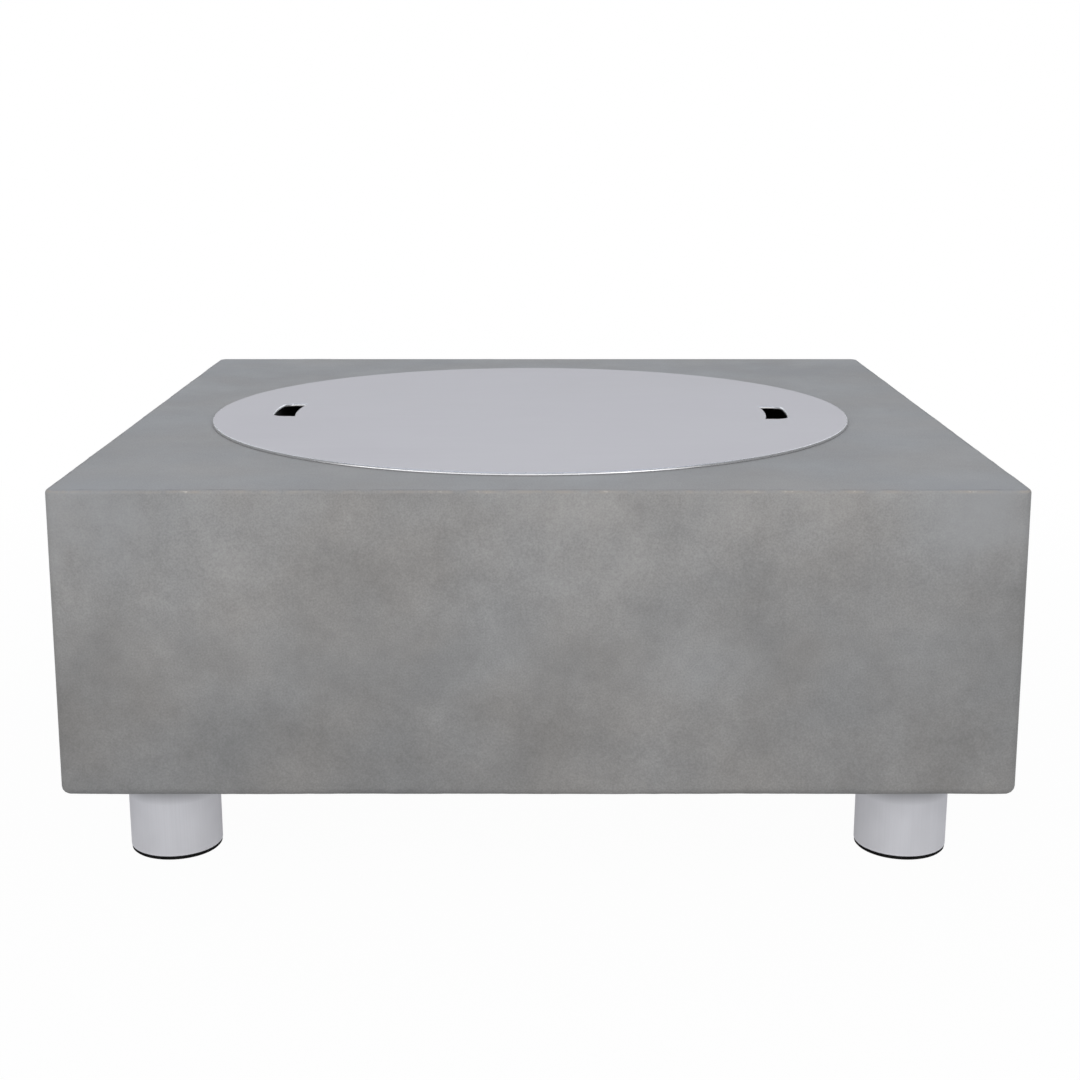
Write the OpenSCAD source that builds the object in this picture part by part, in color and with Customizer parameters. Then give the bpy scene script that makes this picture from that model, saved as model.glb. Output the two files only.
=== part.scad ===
// Square concrete fire pit table with a loose round steel lid, four steel tube legs and a
// drop-in gas burner. Millimetres, +Z up, front towards -Y. The origin is the middle of the
// footprint, on the floor.

/* [Concrete body] */
// Width and depth of the square table at its top edge
top_w = 1016; // [900:1:1200]
// Height of the concrete body without its legs
body_h = 333; // [300:1:380]
// How far each side leans out between the top edge and the bottom edge
flare = 3; // [0:0.5:8]
// Thickness of the side walls at the top edge
wall_t = 24; // [20:1:40]
// Thickness of the top slab
slab_t = 32; // [26:1:45]
// Radius of the four upright corner edges
corner_r = 12; // [9:1:20]
// Radius of the edge round the top face
top_edge_r = 4; // [2:0.5:6]
// Radius of the edge round the bottom
bottom_edge_r = 9; // [3:0.5:9]
// Radius of the inside corners of the hollow
cove_r = 25; // [10:1:40]
// Height of the solid corner blocks that the legs bolt to
block_h = 80; // [70:1:120]
// Concrete beside a leg on its corner block
block_margin = 8; // [4:1:20]
// Width of the thicker rim round the fire opening, on the underside
rim_w = 32; // [20:1:60]
// Depth of that rim below the slab
rim_h = 20; // [10:1:40]

/* [Legs] */
// Outer radius of a leg tube
leg_r = 50.8; // [40:0.1:60]
// Wall of a leg tube
leg_wall = 2; // [1.5:0.1:4]
// Length of a leg tube
leg_h = 92; // [60:1:150]
// Distance from the table's top edge to a leg's axis
leg_inset = 98; // [80:1:140]
// Thickness of the plate welded into the top of a leg
leg_plate_t = 8; // [5:0.5:12]
// Radius of the bolt that holds a leg
leg_bolt_r = 8; // [5:0.5:10]
// Length of that bolt inside the concrete
leg_bolt_grip = 55; // [30:1:62]
// Width across the flats of that bolt's head
leg_bolt_af = 24; // [18:1:32]
// Height of that bolt's head
leg_bolt_head_h = 10; // [6:0.5:14]
// Wall of the threaded sleeve cast into a corner block
sleeve_wall = 4; // [3:0.5:8]
// Thickness of a foot pad below its tube
foot_t = 4; // [2:0.5:12]
// Height of the part of a foot pad that plugs into the tube
foot_plug_h = 12; // [6:1:25]
// How far a foot pad stays inside the tube's outline
foot_step = 0.6; // [0.2:0.1:3]

/* [Lid] */
// Radius of the lid
lid_r = 406; // [400:1:440]
// Thickness of the lid plate
lid_t = 3.2; // [3:0.1:8]
// Radius of the lid's rounded rim edges
lid_edge_r = 1.2; // [0.3:0.1:1.4]
// How far to the right of the middle the loose lid lies
lid_shift_x = -10; // [-12:1:12]
// How far behind the middle the loose lid lies
lid_shift_y = -26; // [-38:1:38]
// Turn of the loose lid about its own axis, in degrees
lid_turn = -2; // [-180:1:180]
// Radius of the arc along the middle of the hand slots
slot_mid_r = 316; // [260:1:320]
// Width of a hand slot
slot_w = 31; // [24:1:45]
// Length of a hand slot
slot_l = 90; // [70:1:140]
// Radius of the outer corners of a hand slot
slot_corner_r = 15; // [4:1:15]

/* [Burner pan] */
// Outer radius of the pan's wall
pan_r = 345; // [310:1:350]
// Depth of the pan below the top of its flange
pan_depth = 98; // [80:1:130]
// Sheet thickness of the pan
pan_sheet = 1.5; // [1:0.1:3]
// Width of the pan's flange
pan_flange_w = 15; // [10:1:18]
// Inner radius of the bend between the pan's wall and its floor
pan_bend_r = 8; // [4:1:14]
// Depth of the rebate in the concrete that takes the flange
rebate_d = 3; // [3:0.5:6]
// Gap between the pan's wall and the concrete
pan_gap = 3; // [1:0.5:6]
// Gap between the flange and the edge of its rebate
flange_gap = 1.5; // [0.5:0.5:4]
// Radius of a weep hole in the pan's floor
weep_r = 4; // [2:0.5:6]
// Number of weep holes
weep_count = 6; // [3:1:12]

/* [Burner] */
// Radius of the outer burner ring, to the middle of its tube
outer_ring_r = 245; // [225:1:265]
// Radius of the inner burner ring, to the middle of its tube
inner_ring_r = 135; // [110:1:150]
// Outer radius of the ring tubes
ring_tube_r = 12.7; // [9:0.1:16]
// Wall of the burner's tubes
burner_wall = 1.5; // [1:0.1:2.5]
// Height of the middle of the ring tubes above the pan's floor
ring_lift = 24; // [20:1:34]
// Outer radius of the cross tubes that feed the rings
cross_tube_r = 8; // [6:0.1:11]
// Outer radius of the hub in the middle of the burner
hub_r = 20; // [16:0.5:26]
// Radius of the hub's base on the pan's floor
hub_base_r = 32; // [28:1:40]
// Thickness of the hub's base
hub_base_t = 4; // [2:0.5:8]
// Height of the hub above the middle of the ring tubes
hub_rise = 14; // [12:1:24]
// Outer radius of the threaded pipe below the hub
nipple_r = 10.5; // [8:0.1:12]
// Length of that pipe below the pan
nipple_l = 26; // [20:1:40]
// Radius of a flame port
port_r = 1.3; // [0.8:0.1:2]
// Number of flame ports in the outer ring
outer_ports = 32; // [12:1:48]
// Number of flame ports in the inner ring
inner_ports = 16; // [8:1:24]
// Largest width of a lava stone
stone_d = 34; // [28:1:36]
// Least room between two lava stones
stone_gap = 2.5; // [1:0.5:8]

/* [Control niche] */
// Width of the recessed steel control box, inside
niche_w = 190; // [186:1:260]
// Height of the control box, inside
niche_h = 100; // [80:1:120]
// Depth of the control box below its flange
niche_d = 40; // [36:1:60]
// Height of the middle of the control box above the bottom of the concrete
niche_up = 150; // [140:1:175]
// Sheet thickness of the control box
box_sheet = 1.5; // [1:0.1:3]
// Width of the control box's flange
box_flange_w = 14; // [12:1:25]
// Depth of the flange's face behind the table's top edge
box_set = 1; // [0.5:0.5:4]
// Gap round the control box in the concrete
box_gap = 1; // [0.3:0.1:4]
// Distance from the middle of the box to the knob, and to the igniter on the other side
control_x = 64; // [62:1:70]

/* [Gas valve and knob] */
// Radius of the valve's body
valve_r = 24; // [22:0.5:30]
// Length of the valve's body behind the panel
valve_l = 58; // [52:1:80]
// Radius of the valve's threaded neck
neck_r = 8; // [6.5:0.1:10]
// Thickness of the nut on the neck
neck_nut_t = 5; // [3:0.5:7]
// Width across the flats of that nut
neck_nut_af = 22; // [20:1:25]
// Radius of the valve's stem
stem_r = 3; // [2.5:0.1:4]
// Depth of the flat on the end of the stem
stem_flat = 0.8; // [0.4:0.1:1.2]
// Radius of the plunger that the stem pushes
plunger_r = 6; // [5:0.1:9]
// Length of the plunger
plunger_l = 14; // [8:1:18]
// How far the knob pushes in
push_travel = 4; // [2:0.5:5]
// Room left under the knob when it is pushed in
push_gap = 1; // [0.5:0.1:3]
// Room round the nut in the hollow back of the knob
knob_nut_gap = 1.3; // [0.5:0.1:3]
// Wall of the knob's grip round that hollow
knob_wall = 3; // [2.5:0.1:5]
// Width of the skirt round the grip
knob_skirt_w = 4; // [2.5:0.5:6]
// Length of the knob
knob_l = 22; // [18:1:28]
// Number of finger flutes round the grip
knob_flutes = 8; // [4:1:12]
// Depth of a finger flute
flute_d = 1.5; // [0.5:0.1:1.8]

/* [Igniter] */
// Radius of the igniter's barrel
barrel_r = 13; // [12:0.5:18]
// Length of the igniter's barrel behind the panel
barrel_l = 62; // [50:1:80]
// Radius of the igniter's threaded neck
igniter_neck_r = 10.5; // [10:0.1:11.5]
// Thickness of the ring nut on that neck
ring_nut_t = 4; // [3:0.5:6]
// Outer radius of that ring nut
ring_nut_r = 15; // [14:0.5:20]
// Radius of the push button
button_r = 8.5; // [6:0.1:9]
// How far the button stands out of its nut
button_out = 7; // [6:0.5:10]
// Length of the button inside the neck
button_in = 12; // [8:0.5:16]
// How far the button travels
button_travel = 4; // [2:0.5:5]
// Distance of the two sensors from the middle line of their bracket
sensor_x = 12; // [10:0.5:16]

/* [Gas pipes] */
// Outer radius of the gas pipes
pipe_r = 6.35; // [5:0.05:7]
// Wall of the gas pipes
pipe_wall = 1.2; // [0.8:0.1:2]
// Radius of the bend in the burner pipe, to its middle line
pipe_bend_r = 22; // [16:1:24]
// Outer radius of a threaded pipe boss
boss_r = 7.5; // [7.3:0.1:8.5]
// Length of a threaded pipe boss
boss_l = 12; // [10:0.5:16]
// Wall of a threaded pipe boss
boss_wall = 3; // [2:0.5:4]
// Length of a pipe nut on each side of its joint
nut_half_l = 8; // [5:0.5:9]
// Width across the flats of a pipe nut
pipe_nut_af = 22; // [20:1:24]
// Thickness of the locknut below the pan
locknut_t = 8; // [5:0.5:12]
// Width across the flats of that locknut
locknut_af = 34; // [30:1:42]
// Outer radius of the air mixer
mixer_r = 15; // [14:0.5:20]
// Height of an air window in the mixer
window_h = 20; // [10:1:24]
// Width of an air window in the mixer
window_w = 11; // [6:0.5:14]
// Radius of the orifice elbow
elbow_r = 11; // [10:0.5:14]
// Radius of the orifice spigot in the mixer
spigot_r = 8; // [6:0.5:9]
// Length of the orifice spigot
spigot_l = 10; // [6:0.5:14]
// Height of the gas inlet's bracket above the bottom of the concrete
inlet_up = 40; // [30:1:52]
// Radius of the inlet's outside thread, a flare thread for 3/8 inch tube
inlet_r = 7.94; // [6:0.01:9]
// Length of the inlet's free thread
inlet_l = 14; // [10:1:20]
// Width of the relief groove above the inlet's free thread
relief_w = 1; // [0.5:0.1:2]
// Depth of that groove
relief_d = 0.8; // [0.4:0.1:1.2]
// How far the bulkhead thread, in the bracket and its locknut, stands proud of the free thread
bulkhead_step = 1.5; // [0.5:0.1:2]
// Height of the inlet's hexagon
inlet_hex_h = 8; // [5:0.5:12]
// Thickness of the locknut below the inlet's bracket
inlet_nut_t = 4; // [3:0.5:8]
// Width across the flats of the inlet's hexagon and locknut
inlet_af = 24; // [20:1:30]
// Thickness of the inlet's bracket
bracket_t = 3; // [2:0.5:5]
// Width of the inlet's bracket
bracket_w = 56; // [46:1:80]
// Height of the inlet's bracket against the wall
bracket_h = 40; // [32:1:60]

/* [Hidden] */
$fn = 64;
// Angle step of an arc in a profile, in degrees
arc_step = 15;
// Overshoot of a cut past the face that it opens
cut = 1;
// Play of a part that slides in a bore, on the radius
slide_play = 0.3;
// Play of a part that is screwed or stuck in a hole, on the radius
screw_play = 0.1;

// Heights of the faces that the pieces share
body_z = foot_t + leg_h;
top_z = body_z + body_h;
seat_z = top_z - rebate_d;
floor_z = seat_z + pan_sheet - pan_depth;
under_z = floor_z - pan_sheet;
ring_z = floor_z + ring_lift;
pipe_z = body_z + niche_up;

// Plan of the concrete
leg_xy = top_w / 2 - leg_inset;
inner_half = top_w / 2 - wall_t;
block_in = leg_xy - leg_r - block_margin;
opening_r = pan_r + pan_gap;
rebate_r = pan_r + pan_flange_w + flange_gap;
sleeve_r = leg_bolt_r + sleeve_wall;
sleeve_end = 3;

// The control box, from the back of the table inwards
box_face_y = top_w / 2 - box_set;
panel_y = box_face_y - niche_d;
panel_back = panel_y - box_sheet;
valve_back = panel_back - valve_l;
outlet_y = valve_back - boss_l;
inlet_y = panel_back - valve_l / 2;
knob_back = panel_y + push_travel + push_gap;
knob_hollow_r = hex_r(neck_nut_af) + knob_nut_gap;
knob_hollow_d = neck_nut_t + 2;
grip_r = knob_hollow_r + knob_wall;
knob_r = grip_r + knob_skirt_w;
// The stem ends this far below the knob's face
stem_depth = 5;
stem_end = knob_back + knob_l - stem_depth;
socket_l = knob_l - stem_depth - knob_hollow_d;
// Solid brass in front of the plunger's chamber
chamber_wall = 12;
chamber_front = panel_back - chamber_wall;
plunger_front = chamber_front - slide_play;
magnet_r = 4;
magnet_l = 8;
magnet_edge = 2;
magnet_z = pipe_z + valve_r - magnet_r - magnet_edge;
terminal_r = 3;
terminal_l = 8;
box_screw_r = 2;
box_screw_l = 18;
box_screw_head_r = 4;
box_screw_head_h = 1.8;

// The pipes
mixer_top = under_z - locknut_t;
mixer_bottom = pipe_z + elbow_r;
mixer_throat_r = 6;
elbow_end_x = -(elbow_r + boss_l);
bracket_z = body_z + inlet_up;
inlet_hex_z = bracket_z + bracket_t;
bulkhead_r = inlet_r + bulkhead_step;
fitting_top = inlet_hex_z + inlet_hex_h + boss_l;
valve_inlet_z = pipe_z - valve_r - boss_l;
bracket_screw_r = 2.5;
bracket_screw_l = 16;
bracket_screw_head_r = 5;
bracket_screw_head_h = 3.5;

// The igniter's electrode and the thermocouple, between the two rings
sensor_y = (inner_ring_r + outer_ring_r) / 2;
sensor_plate = [60, 22, 2];
sensor_hole_r = 4.2;
insulator_r = 4;
electrode_r = 1.5;
electrode_rise = 4;
insulator_rise = ring_lift - electrode_rise;
insulator_drop = 22;
collar_r = 7;
collar_h = 6;
probe_r = 3;
probe_rise = 36;
probe_drop = 15;
spark_gap = 4;
lead_r = 1.6;

// Routes of the two leads between the burner pan and the controls
spark_lead = [
  [12, 190, 288], [14, 204, 270], [22, 240, 254], [36, 290, 244], [50, 340, 241], [60, 370, 243]
];
probe_lead = [
  [-12, 190, 300], [-14, 206, 283], [-20, 240, 270], [-32, 290, 259], [-46, 340, 256], [-58, 372, 259]
];
spark_start = [sensor_x, sensor_y, under_z - insulator_drop - terminal_l];
spark_end = [control_x, panel_back - barrel_l - terminal_l, pipe_z];
probe_start = [-sensor_x, sensor_y, under_z - probe_drop];
probe_end = [-control_x, valve_back - magnet_l, magnet_z];

// Colours
concrete_grey = [0.62, 0.62, 0.63];
lid_steel = [0.74, 0.74, 0.75];
leg_steel = [0.68, 0.67, 0.65];
sheet_steel = [0.72, 0.72, 0.73];
brass_yellow = [0.72, 0.58, 0.30];
soft_black = [0.08, 0.08, 0.08];
stone_red = [0.30, 0.20, 0.17];
ceramic_white = [0.88, 0.87, 0.83];
copper_red = [0.70, 0.42, 0.28];

// Shapes that several pieces share

// Points of an arc about c, from angle a to angle b
function arc(c, r, a, b, steps = ceil(90 / arc_step)) =
  [for (i = [0:steps]) c + r * [cos(a + (b - a) * i / steps), sin(a + (b - a) * i / steps)]];

// Radius of a hexagon that is af wide across its flats
function hex_r(af) = af / 2 / cos(30);

module tube(r, wall, h) {
  difference() {
    cylinder(r = r, h = h);
    translate([0, 0, -cut]) cylinder(r = r - wall, h = h + 2 * cut);
  }
}

module hex_nut(af, bore_r, h) {
  difference() {
    cylinder(r = hex_r(af), h = h, $fn = 6);
    translate([0, 0, -cut]) cylinder(r = bore_r, h = h + 2 * cut);
  }
}

// A box with round upright edges, on the XY plane and about the Z axis
module rounded_slab(w, d, r, h) {
  translate([-w / 2 + r, -d / 2, 0]) cube([w - 2 * r, d, h]);
  translate([-w / 2, -d / 2 + r, 0]) cube([w, d - 2 * r, h]);
  for (x = [-1, 1], y = [-1, 1]) {
    translate([x * (w / 2 - r), y * (d / 2 - r), 0]) cylinder(r = r, h = h);
  }
}

// Places what is drawn along +Z so that it points out of the back of the table, at pipe height
module outward(x, y) {
  translate([x, y, pipe_z]) rotate([-90, 0, 0]) children();
}

module at_legs() {
  for (x = [-1, 1], y = [-1, 1]) translate([x * leg_xy, y * leg_xy, 0]) children();
}

// A closed tube swept along the points of a route
function unit(v) = v / norm(v);
function heading(p, i) = unit(p[min(i + 1, len(p) - 1)] - p[max(i - 1, 0)]);
function ring_points(c, t, r, n) =
  let (u = unit(cross(t, [1, 0, 0])), v = cross(t, u))
  [for (k = [0:n - 1]) c + r * (u * cos(360 * k / n) + v * sin(360 * k / n))];

module swept_tube(p, r, n = 8) {
  last = len(p) - 1;
  points = [for (i = [0:last]) each ring_points(p[i], heading(p, i), r, n)];
  faces = concat(
    [[for (k = [0:n - 1]) k]],
    [for (i = [0:last - 1], k = [0:n - 1]) let (a = i * n + k, b = i * n + (k + 1) % n) [a, a + n, b]],
    [for (i = [0:last - 1], k = [0:n - 1]) let (a = i * n + k, b = i * n + (k + 1) % n) [b, a + n, b + n]],
    [[for (k = [n - 1:-1:0]) last * n + k]]
  );
  polyhedron(points, faces);
}

// Concrete body

// A disc whose upper rim is rounded with radius e
module corner_puck(r, e) {
  rotate_extrude($fn = 32) polygon(concat([[0, 0], [r, 0]], arc([r - e, 0], e, 0, 90, 4), [[0, e]]));
}

module outer_block() {
  top_c = top_w / 2 - corner_r;
  bottom_c = top_c + flare;
  hull() {
    for (x = [-1, 1], y = [-1, 1]) {
      translate([x * top_c, y * top_c, top_z - top_edge_r]) corner_puck(corner_r, top_edge_r);
      translate([x * bottom_c, y * bottom_c, body_z + bottom_edge_r])
        mirror([0, 0, 1]) corner_puck(corner_r, bottom_edge_r);
    }
  }
}

module hollow() {
  high_z = body_z + block_h;
  low_h = block_h + 2 * cut;
  difference() {
    union() {
      translate([0, 0, body_z - cut]) {
        rounded_slab(2 * block_in, 2 * inner_half, cove_r, low_h);
        rounded_slab(2 * inner_half, 2 * block_in, cove_r, low_h);
      }
      translate([0, 0, high_z]) rounded_slab(2 * inner_half, 2 * inner_half, cove_r, top_z - slab_t - high_z);
    }
    translate([0, 0, top_z - slab_t - rim_h]) cylinder(r = opening_r + rim_w, h = rim_h + cut, $fn = 128);
  }
}

module box_screw_places() {
  x = niche_w / 2 + box_sheet + box_flange_w / 2;
  z = niche_h / 2 + box_sheet + box_flange_w / 2;
  for (sx = [-1, 1], sz = [-1, 1]) {
    translate([sx * x, box_face_y, pipe_z + sz * z]) rotate([90, 0, 0]) children();
  }
}

module bracket_screw_places() {
  for (s = [-1, 1]) {
    translate([-control_x + s * bracket_w / 4, inner_half - bracket_t, bracket_z + bracket_h / 2])
      rotate([-90, 0, 0]) children();
  }
}

// A block about the control box's axis, w by h, from y0 to y1
module niche_block(w, h, y0, y1) {
  translate([-w / 2, y0, pipe_z - h / 2]) cube([w, y1 - y0, h]);
}

module concrete_body() color(concrete_grey) difference() {
  edge = 2 * (box_sheet + box_gap);
  rim = 2 * (box_sheet + box_flange_w + box_gap);
  outside_y = top_w / 2 + flare + cut;
  outer_block();
  hollow();
  translate([0, 0, top_z - slab_t - rim_h - cut])
    cylinder(r = opening_r, h = slab_t + rim_h + 2 * cut, $fn = 128);
  translate([0, 0, seat_z]) cylinder(r = rebate_r, h = rebate_d + cut, $fn = 128);
  niche_block(niche_w + edge, niche_h + edge, inner_half - cut, outside_y);
  niche_block(niche_w + rim, niche_h + rim, box_face_y - box_sheet, outside_y);
  box_screw_places() cylinder(r = box_screw_r + screw_play, h = box_screw_l + cut);
  bracket_screw_places() cylinder(r = bracket_screw_r + screw_play, h = bracket_screw_l + cut);
  at_legs() translate([0, 0, body_z - cut])
    cylinder(r = sleeve_r + screw_play, h = leg_bolt_grip + sleeve_end + cut);
}

// Lid

module hand_slot() {
  outer = slot_mid_r + slot_w / 2;
  inner = slot_mid_r - slot_w / 2;
  side = slot_l / 2 - slot_corner_r;
  corner_x = sqrt(pow(outer - slot_corner_r, 2) - side * side);
  tangent_y = side * outer / (outer - slot_corner_r);
  h = lid_t + 2 * cut;
  translate([0, 0, -cut]) difference() {
    union() {
      intersection() {
        cylinder(r = outer, h = h, $fn = 128);
        translate([0, -tangent_y, 0]) cube([outer, 2 * tangent_y, h]);
      }
      translate([0, -slot_l / 2, 0]) cube([corner_x, slot_l, h]);
      for (s = [-1, 1]) translate([corner_x, s * side, 0]) cylinder(r = slot_corner_r, h = h);
    }
    translate([0, 0, -cut]) cylinder(r = inner, h = h + 2 * cut, $fn = 128);
  }
}

module lid_plate() {
  e = lid_edge_r;
  rotate_extrude($fn = 128) polygon(concat(
    [[0, 0]], arc([lid_r - e, e], e, -90, 0), arc([lid_r - e, lid_t - e], e, 0, 90), [[0, lid_t]]
  ));
}

module lid() color(lid_steel) translate([lid_shift_x, lid_shift_y, top_z]) rotate([0, 0, lid_turn]) {
  difference() {
    lid_plate();
    hand_slot();
    rotate([0, 0, 180]) hand_slot();
  }
}

// Burner pan and burner

module burner_pan() color(sheet_steel) difference() {
  wall_in = pan_r - pan_sheet;
  bend_in = [wall_in - pan_bend_r, floor_z + pan_bend_r];
  flange_top = seat_z + pan_sheet;
  flange_r = pan_r + pan_flange_w;
  rotate_extrude($fn = 128) polygon(concat(
    [[0, under_z]], arc(bend_in, pan_bend_r + pan_sheet, -90, 0),
    [[pan_r, seat_z], [flange_r, seat_z], [flange_r, flange_top], [wall_in, flange_top]],
    arc(bend_in, pan_bend_r, 0, -90), [[0, floor_z]]
  ));
  floor_hole = pan_sheet + 2 * cut;
  translate([0, 0, under_z - cut]) {
    cylinder(r = nipple_r + screw_play, h = floor_hole);
    for (s = [-1, 1]) translate([s * sensor_x, sensor_y, 0]) cylinder(r = sensor_hole_r, h = floor_hole);
    for (i = [0:weep_count - 1]) rotate([0, 0, 360 * (i + 0.5) / weep_count])
      translate([(outer_ring_r + pan_r) / 2, 0, 0]) cylinder(r = weep_r, h = floor_hole);
  }
}

module torus(r, tube_r) {
  rotate_extrude($fn = 128) translate([r, 0]) circle(r = tube_r);
}

module cross_tubes(r) {
  for (a = [45:90:315]) rotate([0, 0, a]) rotate([0, 90, 0]) cylinder(r = r, h = outer_ring_r);
}

// Flame ports along the crown of a ring, each turned so that its start line lies along the ring
module ring_ports(r, count) {
  for (i = [0:count - 1]) rotate([0, 0, 360 * (i + 0.5) / count]) translate([r, 0, 0]) rotate([0, 0, 90]) {
    cylinder(r = port_r, h = 2 * ring_tube_r);
  }
}

module ring_burner() color(sheet_steel) translate([0, 0, ring_z]) difference() {
  base_z = -ring_lift;
  nipple_z = base_z - pan_sheet - nipple_l;
  chamber_h = ring_lift + hub_rise - hub_base_t - burner_wall;
  union() {
    torus(outer_ring_r, ring_tube_r);
    torus(inner_ring_r, ring_tube_r);
    cross_tubes(cross_tube_r);
    translate([0, 0, base_z]) cylinder(r = hub_r, h = ring_lift + hub_rise);
    translate([0, 0, base_z]) cylinder(r = hub_base_r, h = hub_base_t);
    translate([0, 0, nipple_z]) cylinder(r = nipple_r, h = nipple_l + pan_sheet + cut);
  }
  torus(outer_ring_r, ring_tube_r - burner_wall);
  torus(inner_ring_r, ring_tube_r - burner_wall);
  cross_tubes(cross_tube_r - burner_wall);
  translate([0, 0, base_z + hub_base_t]) cylinder(r = hub_r - 2 * burner_wall, h = chamber_h);
  translate([0, 0, nipple_z - cut]) cylinder(r = nipple_r - 2 * burner_wall, h = nipple_l + ring_lift);
  ring_ports(outer_ring_r, outer_ports);
  ring_ports(inner_ring_r, inner_ports);
}

module burner_locknut() color(brass_yellow) translate([0, 0, mixer_top])
  hex_nut(locknut_af, nipple_r + screw_play, locknut_t);

module air_mixer() color(brass_yellow) difference() {
  socket_l = nipple_l - locknut_t;
  length = mixer_top - mixer_bottom;
  window_z = mixer_bottom + spigot_l + 2;
  translate([0, 0, mixer_bottom]) cylinder(r = mixer_r, h = length);
  translate([0, 0, mixer_top - socket_l]) cylinder(r = nipple_r + screw_play, h = socket_l + cut);
  translate([0, 0, mixer_bottom - cut]) cylinder(r = spigot_r + screw_play, h = spigot_l + cut);
  translate([0, 0, mixer_bottom]) cylinder(r = mixer_throat_r, h = length);
  translate([-window_w / 2, -mixer_r - cut, window_z]) cube([window_w, 2 * (mixer_r + cut), window_h]);
}

module orifice_elbow() color(brass_yellow) translate([0, 0, pipe_z]) {
  orifice_r = 1;
  way_r = boss_r - boss_wall;
  difference() {
    union() {
      sphere(r = elbow_r);
      cylinder(r = elbow_r, h = elbow_r);
      cylinder(r = spigot_r, h = elbow_r + spigot_l);
      rotate([0, -90, 0]) cylinder(r = boss_r, h = -elbow_end_x);
    }
    cylinder(r = way_r, h = elbow_r + spigot_l - 2);
    cylinder(r = orifice_r, h = elbow_r + spigot_l + cut);
    rotate([0, -90, 0]) cylinder(r = way_r, h = -elbow_end_x + cut);
  }
}

// Gas pipes, from the valve to the burner and from the inlet to the valve

module burner_pipe_solid(r) {
  bend_x = -control_x + pipe_bend_r;
  outward(-control_x, pipe_bend_r) cylinder(r = r, h = outlet_y - pipe_bend_r);
  translate([bend_x, pipe_bend_r, pipe_z]) rotate([0, 0, 180])
    rotate_extrude(angle = 90) translate([pipe_bend_r, 0]) circle(r = r);
  translate([bend_x, 0, pipe_z]) rotate([0, 90, 0]) cylinder(r = r, h = elbow_end_x - bend_x);
}

module burner_pipe() color(sheet_steel) difference() {
  burner_pipe_solid(pipe_r);
  burner_pipe_solid(pipe_r - pipe_wall);
}

module inlet_pipe() color(sheet_steel)
  translate([-control_x, inlet_y, fitting_top]) tube(pipe_r, pipe_wall, valve_inlet_z - fitting_top);

// A nut that pulls a pipe, on the +Z side, against a threaded boss, on the -Z side
module pipe_nut() {
  difference() {
    translate([0, 0, -nut_half_l]) cylinder(r = hex_r(pipe_nut_af), h = 2 * nut_half_l, $fn = 6);
    translate([0, 0, -cut]) cylinder(r = pipe_r + screw_play, h = nut_half_l + 2 * cut);
    translate([0, 0, -nut_half_l - cut]) cylinder(r = boss_r + screw_play, h = nut_half_l + cut);
  }
}

module pipe_nuts() color(brass_yellow) {
  translate([-control_x, outlet_y, pipe_z]) rotate([90, 0, 0]) pipe_nut();
  translate([elbow_end_x, 0, pipe_z]) rotate([0, -90, 0]) pipe_nut();
  translate([-control_x, inlet_y, valve_inlet_z]) rotate([180, 0, 0]) pipe_nut();
  translate([-control_x, inlet_y, fitting_top]) pipe_nut();
}

module inlet_fitting() color(brass_yellow) translate([-control_x, inlet_y, inlet_hex_z]) {
  bulkhead_l = bracket_t + inlet_nut_t;
  thread_l = bulkhead_l + relief_w + inlet_l;
  whole_l = thread_l + inlet_hex_h + boss_l;
  difference() {
    union() {
      cylinder(r = hex_r(inlet_af), h = inlet_hex_h, $fn = 6);
      cylinder(r = boss_r, h = inlet_hex_h + boss_l);
      translate([0, 0, -bulkhead_l]) cylinder(r = bulkhead_r, h = bulkhead_l + cut);
      translate([0, 0, -thread_l]) cylinder(r = inlet_r - relief_d, h = thread_l);
      translate([0, 0, -thread_l]) cylinder(r = inlet_r, h = inlet_l);
    }
    translate([0, 0, -thread_l - cut]) cylinder(r = boss_r - boss_wall, h = whole_l + 2 * cut);
  }
}

module inlet_locknut() color(brass_yellow) translate([-control_x, inlet_y, bracket_z - inlet_nut_t])
  hex_nut(inlet_af, bulkhead_r + screw_play, inlet_nut_t);

module inlet_bracket() color(sheet_steel) difference() {
  reach = inner_half - inlet_y + hex_r(inlet_af) + bracket_t;
  hole_h = bracket_t + 2 * cut;
  translate([-control_x - bracket_w / 2, 0, bracket_z]) {
    translate([0, inner_half - bracket_t, 0]) cube([bracket_w, bracket_t, bracket_h]);
    translate([0, inner_half - reach, 0]) cube([bracket_w, reach, bracket_t]);
  }
  translate([-control_x, inlet_y, bracket_z - cut]) cylinder(r = bulkhead_r + screw_play, h = hole_h);
  bracket_screw_places() translate([0, 0, -cut]) cylinder(r = bracket_screw_r + screw_play, h = hole_h);
}

module bracket_screws() color(sheet_steel) bracket_screw_places() {
  cylinder(r = bracket_screw_r, h = bracket_screw_l);
  translate([0, 0, -bracket_screw_head_h]) cylinder(r = bracket_screw_head_r, h = bracket_screw_head_h);
}

// Control box, valve and knob

module control_box() color(sheet_steel) difference() {
  walls = 2 * box_sheet;
  rim = 2 * (box_sheet + box_flange_w);
  union() {
    niche_block(niche_w + rim, niche_h + rim, box_face_y - box_sheet, box_face_y);
    niche_block(niche_w + walls, niche_h + walls, panel_back, box_face_y);
  }
  niche_block(niche_w, niche_h, panel_y, box_face_y + cut);
  outward(-control_x, panel_back - cut) cylinder(r = neck_r + screw_play, h = box_sheet + 2 * cut);
  outward(control_x, panel_back - cut) cylinder(r = igniter_neck_r + screw_play, h = box_sheet + 2 * cut);
  box_screw_places() translate([0, 0, -cut]) cylinder(r = box_screw_r + screw_play, h = box_sheet + 2 * cut);
}

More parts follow.
